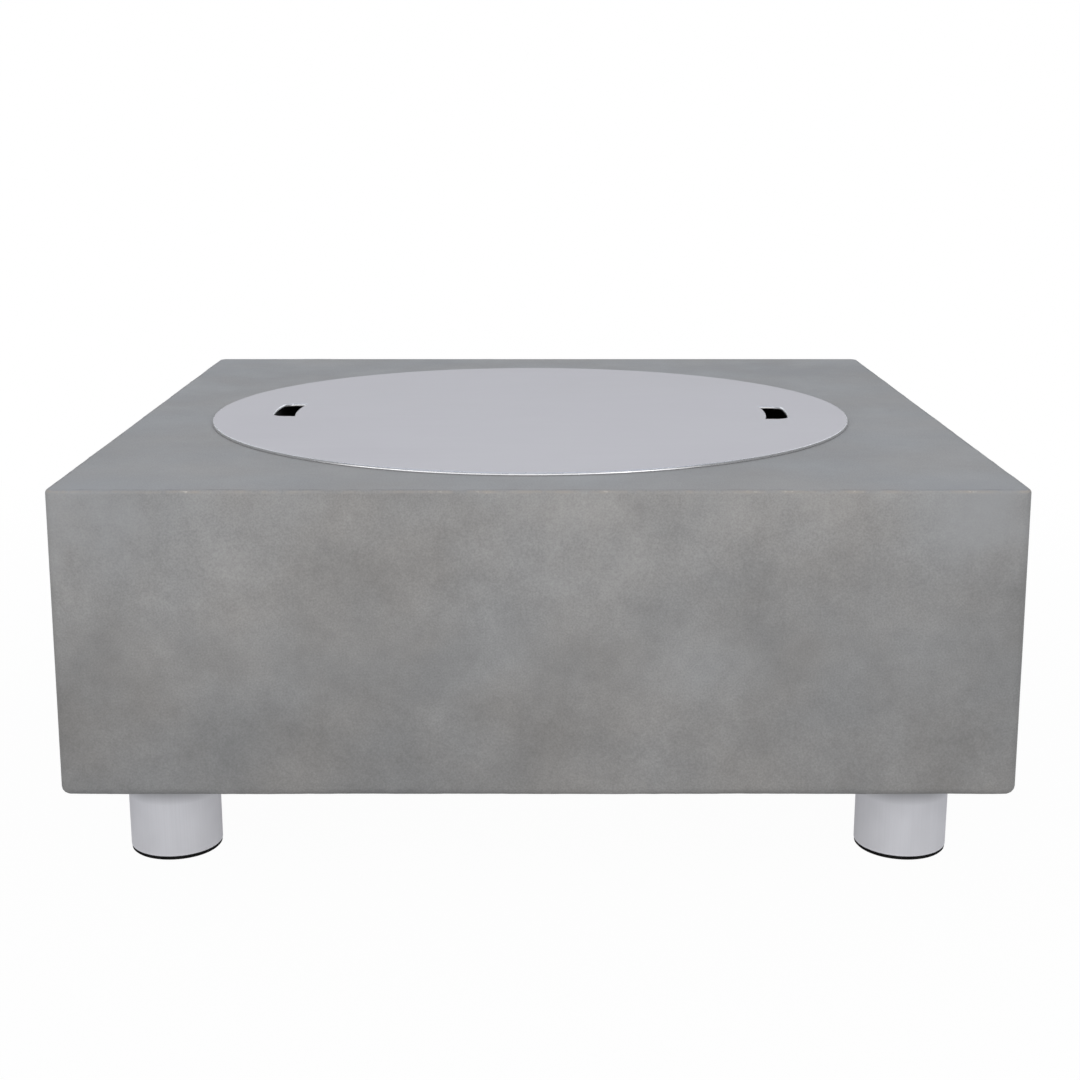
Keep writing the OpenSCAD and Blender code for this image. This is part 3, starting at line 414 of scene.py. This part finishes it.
def pick(piece, kind, wanted):
    """In edit mode, select the VERT, EDGE or FACE elements that pass a test."""
    bpy.ops.mesh.select_mode(type=kind)
    bpy.ops.mesh.select_all(action="DESELECT")
    shape = bmesh.from_edit_mesh(piece.data)
    shape.normal_update()
    parts = {"VERT": shape.verts, "EDGE": shape.edges, "FACE": shape.faces}[kind]
    found = [part for part in parts if wanted(part)]
    for part in found:
        part.select_set(True)
    shape.select_flush_mode()
    bmesh.update_edit_mesh(piece.data)
    return len(found)


def block(name, low, high):
    """A box between two corners, with its place kept in the mesh."""
    size = Vector(high) - Vector(low)
    middle = (Vector(high) + Vector(low)) / 2
    bpy.ops.object.select_all(action="DESELECT")
    bpy.ops.mesh.primitive_cube_add(size=1.0, location=middle)
    piece = bpy.context.object
    piece.name = name
    piece.scale = size
    bpy.ops.object.transform_apply(location=True, rotation=True, scale=True)
    return piece


def drum(name, radius, low, high, sides=192, centre=(0.0, 0.0)):
    """An upright cylinder between two heights."""
    bpy.ops.object.select_all(action="DESELECT")
    middle = (centre[0], centre[1], (low + high) / 2)
    bpy.ops.mesh.primitive_cylinder_add(vertices=sides, radius=radius, depth=high - low, location=middle)
    piece = bpy.context.object
    piece.name = name
    bpy.ops.object.transform_apply(location=True, rotation=True, scale=True)
    return piece


def combine(piece, other, how):
    """Cut or join another solid, which is used up."""
    change = piece.modifiers.new("combine", "BOOLEAN")
    change.operation = how
    change.solver = "EXACT"
    change.object = other
    activate(piece)
    bpy.ops.object.modifier_apply(modifier="combine")
    bpy.data.objects.remove(other)


def upright(edge, reach=0.2):
    """True for a long edge that runs up and down."""
    along = edge.verts[1].co - edge.verts[0].co
    return along.length > reach and abs(along.z) > 0.95 * along.length


print("shaping helpers ready")

# %% [markdown]
# The body is cast upside down in a mould, so its edges are rounded by the mould's fillets and its sides
# taper a little. The model follows that: a block at its size, the bottom face made wider for the draft,
# then the upright corners, the top edge and the bottom edge rounded one after the other. A narrow strip
# set in from the top edge keeps the painted dark line, a painted shade, close to it.

# %% Concrete block with rounded edges
body_low, body_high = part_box("concrete_body")
half = 0.508
foot_half = body_high.x
bottom = body_low.z
top = body_high.z
corner_round = 0.012
top_round = 0.004
bottom_round = 0.009
seam_strip = 0.003
touching = 1e-5
casting = block("concrete_casting", (-half, -half, bottom), (half, half, top))
edit(casting)
pick(casting, "FACE", lambda face: face.normal.z < -0.9)
draft = foot_half / half
bpy.ops.transform.resize(value=(draft, draft, 1.0))
pick(casting, "EDGE", upright)
bpy.ops.mesh.bevel(offset=corner_round, segments=6, affect="EDGES")
pick(casting, "EDGE", lambda edge: all(v.co.z > top - touching for v in edge.verts))
bpy.ops.mesh.bevel(offset=top_round, segments=4, affect="EDGES")
pick(casting, "EDGE", lambda edge: all(v.co.z < bottom + touching for v in edge.verts))
bpy.ops.mesh.bevel(offset=bottom_round, segments=4, affect="EDGES")
pick(casting, "FACE", lambda face: face.normal.z > 0.999)
bpy.ops.mesh.inset(thickness=seam_strip)
leave()
print("casting faces:", len(casting.data.polygons))

# %% [markdown]
# A solid block of this size would weigh 800 kg, so the casting is hollow. The mould's core is a low
# cross-shaped block that leaves four heavy corners for the legs, with a square block above it. A collar
# of concrete stays round the fire opening, to carry the burner's pan.

# %% Hollow of the casting
inner = 0.484
between = 0.3512
core_round = 0.025
core_low = 0.05
corners_top = 0.177
upper_low = 0.176
slab_under = 0.397
collar_radius = 0.380
collar_under = 0.377
inside_slab = 0.42


def rounded_block(name, low, high, radius):
    """A block whose upright edges are rounded, like a mould's core."""
    piece = block(name, low, high)
    edit(piece)
    pick(piece, "EDGE", lambda edge: upright(edge, 0.0))
    bpy.ops.mesh.bevel(offset=radius, segments=8, affect="EDGES")
    leave()
    return piece


core = rounded_block("core", (-between, -inner, core_low), (between, inner, corners_top), core_round)
across = rounded_block("core_across", (-inner, -between, core_low), (inner, between, corners_top),
                       core_round)
combine(core, across, "UNION")
combine(core, block("core_upper", (-inner, -inner, upper_low), (inner, inner, slab_under)), "UNION")
combine(core, drum("opening_collar", collar_radius, collar_under, inside_slab), "DIFFERENCE")
combine(casting, core, "DIFFERENCE")
print("hollow casting faces:", len(casting.data.polygons))

# %% [markdown]
# The fire opening has a step for the rim of the burner's pan. The back wall has a window for the control
# box, with a shallow step round it for the box's flange.

# %% Fire opening and control window
opening_radius = 0.348
opening_low = 0.30
step_radius = 0.3615
step_z = 0.426
above_top = 0.50
combine(casting, drum("opening", opening_radius, opening_low, above_top), "DIFFERENCE")
combine(casting, drum("rim_step", step_radius, step_z, above_top), "DIFFERENCE")
box_low, box_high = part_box("control_box")
window_side = 0.0975
window_up = 0.0525
window_in = 0.44
past_wall = 0.53
flange_depth = 0.0025
gap = 0.001
middle_z = (box_low.z + box_high.z) / 2
window = block("window", (-window_side, window_in, middle_z - window_up),
               (window_side, past_wall, middle_z + window_up))
combine(casting, window, "DIFFERENCE")
window_step = block("window_step", (box_low.x - gap, box_high.y - flange_depth, box_low.z - gap),
                    (box_high.x + gap, past_wall, box_high.z + gap))
combine(casting, window_step, "DIFFERENCE")
print("opened casting faces:", len(casting.data.polygons))

# %% [markdown]
# No casting has ruler-straight edges. To make them wander, the long edges are divided finely. Faces with
# many corners, such as those round the window, are cut into triangles first, because dividing an edge
# of such a face can fold it over.

# %% Divide the long edges
outer_from = 0.49
rim_zone = 0.03
rim_cuts = 15
upright_cuts = 39


def outside(point):
    """True for a point on the outside of the casting."""
    return max(abs(point.co.x), abs(point.co.y)) > outer_from


def outer(edge):
    """True for an edge on the outside of the casting."""
    return all(outside(v) for v in edge.verts)


def near_rim(point):
    """True for a point near the top or the bottom of the casting."""
    return point.co.z > top - rim_zone or point.co.z < bottom + rim_zone


def level(edge, axis):
    """True for a long edge along one level axis, at the top or bottom of an outer side."""
    along = edge.verts[1].co - edge.verts[0].co
    straight = along.length > 0.05 and abs(along[axis]) > 0.95 * along.length
    return straight and outer(edge) and all(near_rim(v) for v in edge.verts)


edit(casting)
pick(casting, "FACE", lambda face: len(face.verts) > 4)
bpy.ops.mesh.quads_convert_to_tris(quad_method="BEAUTY", ngon_method="BEAUTY")
for axis in (0, 1, 0, 1):
    pick(casting, "EDGE", lambda edge: level(edge, axis))
    bpy.ops.mesh.subdivide(number_cuts=rim_cuts)
pick(casting, "EDGE", lambda edge: upright(edge) and outer(edge))
bpy.ops.mesh.subdivide(number_cuts=upright_cuts)
leave()
print("divided casting faces:", len(casting.data.polygons))

# %% [markdown]
# Two gentle noise fields then push the rounded edges in and out, mostly by a fraction of a millimetre.
# The share that each point moves is kept as a vertex group, and the value for the line of sand, painted
# highlight and painted shade along the top edge is kept on the mesh as an attribute.

# %% Wavy edges and the line of sand, painted highlight and painted shade
side_weight = 0.4
line_depth = 0.0075
line_from = 0.5025


def roundness(point):
    """How far a point lies on a rounded outer edge, from 0 on flats to 1, less on the left and right."""
    steep = max(abs(c) for c in point.normal)
    weight = 1.0 if abs(point.co.y) > abs(point.co.x) else side_weight
    return weight * min(max((0.985 - steep) / 0.2, 0.0), 1.0) if outside(point) else 0.0


def top_line(point):
    """The value along the top edge: sand and painted highlight on its rounding, painted shade as a dark
    line above it and a faint one below.
    """
    if point.co.z < top - line_depth or max(abs(point.co.x), abs(point.co.y)) < line_from:
        return 0.0
    up = point.normal.z
    if up > 0.97:
        # Painted shade: the dark line on the flat top next to the edge.
        return -0.8
    return 1.0 - abs(up - 0.6) / 0.5


shares = [roundness(point) for point in casting.data.vertices]
lines = [top_line(point) for point in casting.data.vertices]
group = casting.vertex_groups.new(name="edges")
for index, share in enumerate(shares):
    if share > 0.0:
        group.add([index], share, "REPLACE")
casting.data.attributes.new("edge_line", "FLOAT", "POINT").data.foreach_set("value", lines)


def ripple(piece, name, size, strength, vertex_group=""):
    """Push a surface in and out with cloud noise of a given size, in metres."""
    noise = bpy.data.textures.new(name, "CLOUDS")
    noise.noise_scale = size
    noise.noise_depth = 2
    push = piece.modifiers.new(name, "DISPLACE")
    push.texture = noise
    push.texture_coords = "LOCAL"
    push.mid_level = 0.5
    push.strength = strength
    push.vertex_group = vertex_group
    activate(piece)
    bpy.ops.object.modifier_apply(modifier=name)


ripple(casting, "chatter", 0.012, 0.0012, "edges")
ripple(casting, "sway", 0.07, 0.0032, "edges")
print("wavy edge points:", sum(1 for share in shares if share > 0.0))

# %% [markdown]
# Rounded edges should shade smoothly while the flats stay flat. Shading by angle does the first, and
# weighted normals keep the large flat faces from bending the light near their edges.

# %% Smooth shading for the casting


def smooth(piece, angle=35.0):
    """Shade round parts smooth and flat parts flat."""
    activate(piece)
    bpy.ops.object.shade_smooth_by_angle(angle=math.radians(angle))
    weigh = piece.modifiers.new("weigh", "WEIGHTED_NORMAL")
    weigh.keep_sharp = True
    bpy.ops.object.modifier_apply(modifier="weigh")


smooth(casting)
dress(casting, concrete)
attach(casting, "table")
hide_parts("concrete_body")
print("casting triangles:", sum(len(face.vertices) - 2 for face in casting.data.polygons))

# %% [markdown]
# ## Steel
#
# The lid is satin plate, finished so finely that single scratches hardly show, so its noise is stretched
# into faint hairlines. Its rim and its slots were ground smooth and get a shinier finish than the faces.

# %% Lid finishes
lid_grey = (0.420, 0.398, 0.410)
satin = Finish("satin_lid_steel", lid_grey, 0.42, 1.0)
film = satin.clouds(6.0, detail=3.0)
hair = satin.clouds(3.0, detail=2.0, stretch=(2.0, 260.0, 2.0))
tone = satin.math("MULTIPLY", satin.spread(film, 0.3, 0.7, 0.97, 1.03),
                  satin.spread(hair, 0.3, 0.7, 0.98, 1.02))
satin.put(satin.shader, "Base Color", satin.tint(1.0, lid_grey, tone, how="MULTIPLY"))
satin.put(satin.shader, "Roughness", satin.spread(film, 0.3, 0.7, 0.38, 0.46))
satin.put(satin.shader, "Normal", satin.bump(hair, 0.08, 0.0002))
ground = Finish("ground_edge_steel", (0.66, 0.66, 0.67), 0.28, 1.0)
stroke = ground.clouds(2.0, detail=3.0, stretch=(30.0, 30.0, 400.0))
ground.put(ground.shader, "Roughness", ground.spread(stroke, 0.3, 0.7, 0.22, 0.34))
ground.put(ground.shader, "Normal", ground.bump(stroke, 0.03, 0.0002))
print("lid finishes:", satin.material.name, ground.material.name)

# %% [markdown]
# The lid starts as a disc of plate. Its upper rim is eased by a rounding that is almost as high as the
# plate is thick, which catches the lamps, and its lower rim only loses its burr.

# %% Lid plate
lid_low, lid_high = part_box("lid")
lid_middle = (lid_low + lid_high) / 2
lid_radius = (lid_high.x - lid_low.x) / 2
rim_round = 0.0026
burr = 0.0005
level_with = 1e-6
plate = drum("satin_lid", lid_radius, lid_low.z, lid_high.z, 256, lid_middle)
edit(plate)
pick(plate, "EDGE", lambda edge: all(v.co.z > lid_high.z - level_with for v in edge.verts))
bpy.ops.mesh.bevel(offset=rim_round, segments=6, affect="EDGES")
pick(plate, "EDGE", lambda edge: all(v.co.z < lid_low.z + level_with for v in edge.verts))
bpy.ops.mesh.bevel(offset=burr, segments=2, affect="EDGES")
leave()
print("lid radius:", lid_radius)

# %% [markdown]
# Each hand slot lies between two arcs round the lid's middle and has round outer corners. A solid of that
# outline is put together from drums and blocks and cuts the plate, and then the slot's upper lip is eased.

# %% Hand slots
slot_out = 0.3293
slot_in = 0.3030
slot_half = 0.049
slot_corner = 0.016
lip_round = 0.0022
arc_from = 0.2
arc_to = 0.4
flanks_from = 0.25
past_plate = 0.01
lid_turn = math.radians(-2.0)


def slot_cutter(turn):
    """A solid with the outline of one hand slot, turned about the lid's middle."""
    low, high = lid_low.z - past_plate, lid_high.z + past_plate
    past_low, past_high = low - past_plate, high + past_plate
    straight = slot_half - slot_corner
    corner_x = math.sqrt((slot_out - slot_corner) ** 2 - straight ** 2)
    touch = straight * slot_out / (slot_out - slot_corner)
    cutter = drum("slot", slot_out, low, high, 512)
    combine(cutter, block("arc", (arc_from, -touch, past_low), (arc_to, touch, past_high)), "INTERSECT")
    combine(cutter, block("flanks", (flanks_from, -slot_half, low), (corner_x, slot_half, high)), "UNION")
    for side in (-1.0, 1.0):
        combine(cutter, drum("corner", slot_corner, low, high, 48, (corner_x, side * straight)), "UNION")
    combine(cutter, drum("inside", slot_in, past_low, past_high, 512), "DIFFERENCE")
    activate(cutter)
    cutter.rotation_euler = (0.0, 0.0, turn)
    cutter.location = (lid_middle.x, lid_middle.y, 0.0)
    bpy.ops.object.transform_apply(location=True, rotation=True, scale=True)
    return cutter


def slot_lip(edge):
    """True for a sharp edge of a slot on the lid's upper face."""
    raised = all(abs(v.co.z - lid_high.z) < level_with for v in edge.verts)
    inside = all((v.co - lid_middle).length < lid_radius - 0.02 for v in edge.verts)
    return raised and inside and len(edge.link_faces) == 2 and edge.calc_face_angle(0.0) > 1.0


combine(plate, slot_cutter(lid_turn), "DIFFERENCE")
combine(plate, slot_cutter(lid_turn + math.pi), "DIFFERENCE")
edit(plate)
pick(plate, "EDGE", slot_lip)
bpy.ops.mesh.bevel(offset=lip_round, segments=5, affect="EDGES")
leave()
plate.data.materials.append(satin.material)
plate.data.materials.append(ground.material)
for face in plate.data.polygons:
    face.material_index = 0 if abs(face.normal.z) > 0.97 else 1
smooth(plate, 40.0)
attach(plate, "lid")
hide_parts("lid")
print("lid triangles:", sum(len(face.vertices) - 2 for face in plate.data.polygons))

# %% [markdown]
# The legs are tube ends, brushed along their length on a belt. Noise that is stretched up and down gives
# the hairline strokes, a painted highlight makes the lower rim a little brighter, and painted shade
# darkens the steel just under the concrete, where the body shades it. The rubber pads under the legs are
# matt black with some dust.

# %% Leg and foot finishes
leg_grey = (0.655, 0.655, 0.69)
brushed = Finish("brushed_leg_steel", leg_grey, 0.4, 0.7)
streak = brushed.clouds(1.0, detail=2.0, stretch=(900.0, 900.0, 8.0))
haze = brushed.clouds(16.0, detail=2.0, stretch=(1.0, 1.0, 0.8))
tone = brushed.math("MULTIPLY", brushed.spread(streak, 0.3, 0.7, 0.975, 1.025),
                    brushed.spread(haze, 0.3, 0.7, 0.94, 1.06))
height = brushed.tree.nodes.new("ShaderNodeSeparateXYZ")
brushed.put(height, "Vector", brushed.place)
# Painted highlight: the lower rim is made a little brighter in colour, for its polished edge.
tone = brushed.math("MULTIPLY", tone, brushed.spread(height.outputs["Z"], 0.005, 0.0075, 1.08, 1.0))
# Painted shade: the steel is made darker just under the concrete, where the body shades it.
tone = brushed.math("MULTIPLY", tone, brushed.spread(height.outputs["Z"], 0.065, 0.087, 1.0, 0.28))
brushed.put(brushed.shader, "Base Color", brushed.tint(1.0, leg_grey, tone, how="MULTIPLY"))
brushed.put(brushed.shader, "Specular Tint", (0.7, 0.7, 0.72, 1.0))
brushed.put(brushed.shader, "Roughness", brushed.spread(streak, 0.3, 0.7, 0.36, 0.46))
brushed.put(brushed.shader, "Normal", brushed.bump(streak, 0.05, 0.0002))
legs = [name for name in nodes if name.startswith("leg_") and name not in ("leg_bolts", "leg_sleeves")]
for name in legs:
    dress(nodes[name], brushed)

rubber = Finish("foot_rubber", (0.008, 0.008, 0.008), 0.75)
dust = rubber.clouds(60.0, detail=4.0)
rubber.put(rubber.shader, "Base Color", rubber.tint(rubber.spread(dust, 0.4, 0.8), (0.006, 0.006, 0.006),
                                                    (0.014, 0.014, 0.013)))
rubber.put(rubber.shader, "Specular IOR Level", 0.06)
rubber.put(rubber.shader, "Normal", rubber.bump(rubber.clouds(900.0), 0.2, 0.0002))
feet = [name for name in nodes if name.startswith("foot_")]
for name in feet:
    dress(nodes[name], rubber)
print("legs and feet finished:", len(legs), len(feet))

# %% [markdown]
# ## Burner, gas train and controls
#
# Under the lid and behind the back wall the table is a small gas appliance. The pan and box are folded
# from stainless sheet, the burner is welded tube that flames have tinted, and the gas runs through brass
# and aluminium. Each metal gets its own colour, its own roughness and a little stain.

# %% Sheet, brass, pipe and fastener finishes


def metal(name, colour, roughness, stain, size=18.0, streaks=(1.0, 1.0, 1.0)):
    """A metal finish with cloudy stain and fine brushing."""
    finish = Finish(name, colour, roughness, 1.0)
    cloud = finish.clouds(size, detail=5.0, rough=0.6)
    brush = finish.clouds(240.0, detail=2.0, stretch=streaks)
    colour_mix = finish.tint(finish.spread(cloud, 0.38, 0.72), colour, stain)
    finish.put(finish.shader, "Base Color", colour_mix)
    sheen = finish.spread(cloud, 0.3, 0.7, roughness - 0.06, roughness + 0.12)
    finish.put(finish.shader, "Roughness", sheen)
    finish.put(finish.shader, "Normal", finish.bump(brush, 0.12, 0.0002))
    return finish


sheet = metal("folded_sheet_steel", (0.50, 0.50, 0.51), 0.34, (0.40, 0.395, 0.39), streaks=(0.05, 1.0, 1.0))
brass = metal("gas_brass", (0.62, 0.46, 0.20), 0.30, (0.44, 0.31, 0.14), size=45.0)
pipe = metal("pipe_aluminium", (0.66, 0.66, 0.67), 0.38, (0.52, 0.52, 0.52), size=60.0)
zinc = metal("plated_fasteners", (0.55, 0.55, 0.56), 0.32, (0.42, 0.42, 0.40), size=90.0)
copper = metal("probe_copper", (0.66, 0.34, 0.22), 0.34, (0.34, 0.20, 0.14), size=70.0)
burnt = metal("burner_steel", (0.48, 0.47, 0.46), 0.40, (0.34, 0.24, 0.17), size=26.0)
blue = burnt.spread(burnt.clouds(34.0, detail=3.0, offset=(3.0, 3.0, 3.0)), 0.5, 0.68)
mixed = burnt.shader.inputs["Base Color"].links[0].from_socket
burnt.put(burnt.shader, "Base Color", burnt.tint(blue, mixed, (0.20, 0.22, 0.32)))
finishes = {
    "sheet_steel": sheet,
    "brass": brass,
    "pipe_aluminium": pipe,
    "fastener_steel": zinc,
    "copper": copper,
    "burner_steel": burnt,
}
print("metals:", sorted(finishes))

# %% [markdown]
# The knob, button and igniter are moulded plastic with a fine spark-eroded texture. The lead is silicone
# rubber and the electrode sits in glazed ceramic.

# %% Plastic, rubber and ceramic finishes


def moulded(name, colour, roughness, grain=1400.0):
    """A moulded or glazed finish with slight colour drift and a fine texture."""
    finish = Finish(name, colour, roughness)
    drift = finish.clouds(40.0, detail=3.0)
    paler = tuple(min(1.0, 1.25 * c + 0.004) for c in colour)
    finish.put(finish.shader, "Base Color", finish.tint(finish.spread(drift, 0.35, 0.75), colour, paler))
    sheen = finish.spread(drift, 0.3, 0.7, roughness - 0.06, roughness + 0.08)
    finish.put(finish.shader, "Roughness", sheen)
    finish.put(finish.shader, "Normal", finish.bump(finish.clouds(grain, detail=1.0), 0.2, 0.0001))
    return finish


finishes["knob_plastic"] = moulded("knob_plastic", (0.022, 0.022, 0.023), 0.42)
finishes["button_plastic"] = moulded("button_plastic", (0.03, 0.03, 0.031), 0.30)
finishes["lead_rubber"] = moulded("lead_silicone", (0.03, 0.03, 0.03), 0.5)
finishes["insulator_ceramic"] = moulded("insulator_ceramic", (0.78, 0.76, 0.71), 0.18, 500.0)
for piece in nodes.values():
    kind = piece.material_slots[0].material.name.split(".")[0]
    if kind in finishes:
        dress(piece, finishes[kind])
print("finishes:", len(finishes))

# %% [markdown]
# ## Lava stones
#
# Lava stone is frozen froth: dark, full of holes, broken into lumps. The measured stones are plain lumps,
# so a copy of them is divided twice and pushed about with noise of two sizes. The finish adds the pores as
# a bump, darkened by painted shade.

# %% Lava bed
lava = Finish("lava_stone", (0.05, 0.04, 0.038), 0.9)
pores = lava.clouds(260.0, detail=3.0, rough=0.65)
rust = lava.clouds(22.0, detail=3.0)
ash = lava.tint(lava.spread(rust, 0.35, 0.7), (0.040, 0.036, 0.036), (0.105, 0.058, 0.043))
# Painted shade: the pores are darkened where the bump dips.
lava.put(lava.shader, "Base Color", lava.tint(lava.spread(pores, 0.42, 0.55), (0.012, 0.010, 0.010), ash))
lava.put(lava.shader, "Normal", lava.bump(pores, 0.8, 0.002))

stones = nodes["lava_rocks"].copy()
stones.data = nodes["lava_rocks"].data.copy()
stones.name = "lava_bed"
stones.parent = None
scene.collection.objects.link(stones)
edit(stones)
bpy.ops.mesh.select_all(action="SELECT")
bpy.ops.mesh.remove_doubles(threshold=0.00001)
bpy.ops.mesh.subdivide(number_cuts=2, smoothness=0.35)
leave()
ripple(stones, "lumps", 0.016, 0.0045)
ripple(stones, "froth", 0.005, 0.0022)
activate(stones)
bpy.ops.object.shade_smooth_by_angle(angle=math.radians(50.0))
dress(stones, lava)
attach(stones, "table")
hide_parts("lava_rocks")
print("lava triangles:", sum(len(face.vertices) - 2 for face in stones.data.polygons))
